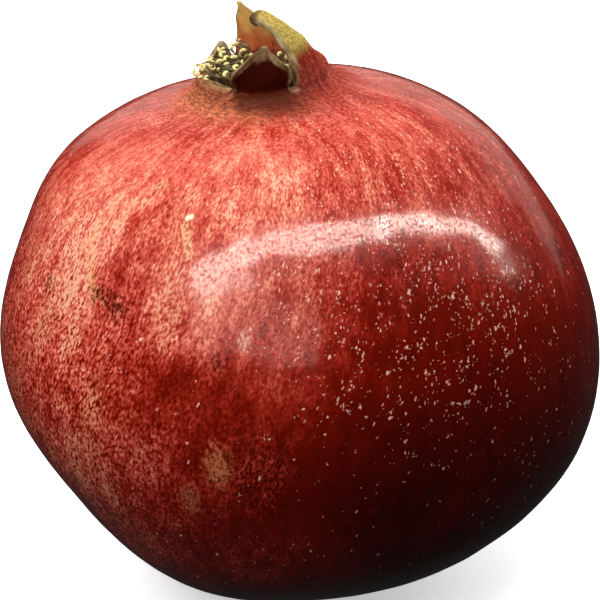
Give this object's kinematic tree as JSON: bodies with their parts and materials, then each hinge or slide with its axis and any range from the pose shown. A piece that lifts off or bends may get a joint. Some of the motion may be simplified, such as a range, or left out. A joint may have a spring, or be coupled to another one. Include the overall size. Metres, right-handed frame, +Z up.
{
  "type": "pomegranate",
  "caption": "Whole ripe pomegranate with a dried, torn crown full of stamens, resting upright on a small flat spot at its stem end.",
  "frame": {"origin": "centre of the fruit's outline seen from above, on the surface it rests on", "axes": "+Z up, from the stem end to the crown; the crown leans towards -X; -Y is the side where one lobe of the crown is folded in and two are broken short"},
  "size_m": [0.0961, 0.0946, 0.0934],
  "materials": {
    "rind": "waxy red rind with pale pores, dry yellow-brown at the crown's lobes",
    "dry_stalk": "dry brown cut stalk",
    "dry_stamen": "dry straw-yellow anthers on brown threads"
  },
  "bodies": {
    "root": {"fruit": "rind", "stem_stub": "dry_stalk", "stamen_01": "dry_stamen", "stamen_02": "dry_stamen", "stamen_03": "dry_stamen", "stamen_04": "dry_stamen", "stamen_05": "dry_stamen", "stamen_06": "dry_stamen", "stamen_07": "dry_stamen", "stamen_08": "dry_stamen", "stamen_09": "dry_stamen", "stamen_10": "dry_stamen", "stamen_11": "dry_stamen", "stamen_12": "dry_stamen", "stamen_13": "dry_stamen", "stamen_14": "dry_stamen", "stamen_15": "dry_stamen", "stamen_16": "dry_stamen", "stamen_17": "dry_stamen", "stamen_18": "dry_stamen", "stamen_19": "dry_stamen", "stamen_20": "dry_stamen", "stamen_21": "dry_stamen", "stamen_22": "dry_stamen", "stamen_23": "dry_stamen", "stamen_24": "dry_stamen", "stamen_25": "dry_stamen", "stamen_26": "dry_stamen", "stamen_27": "dry_stamen", "stamen_28": "dry_stamen", "stamen_29": "dry_stamen", "stamen_30": "dry_stamen", "stamen_31": "dry_stamen", "stamen_32": "dry_stamen", "stamen_33": "dry_stamen", "stamen_34": "dry_stamen", "stamen_35": "dry_stamen", "stamen_36": "dry_stamen", "stamen_37": "dry_stamen", "stamen_38": "dry_stamen", "stamen_39": "dry_stamen", "stamen_40": "dry_stamen"}
  },
  "joints": []
}
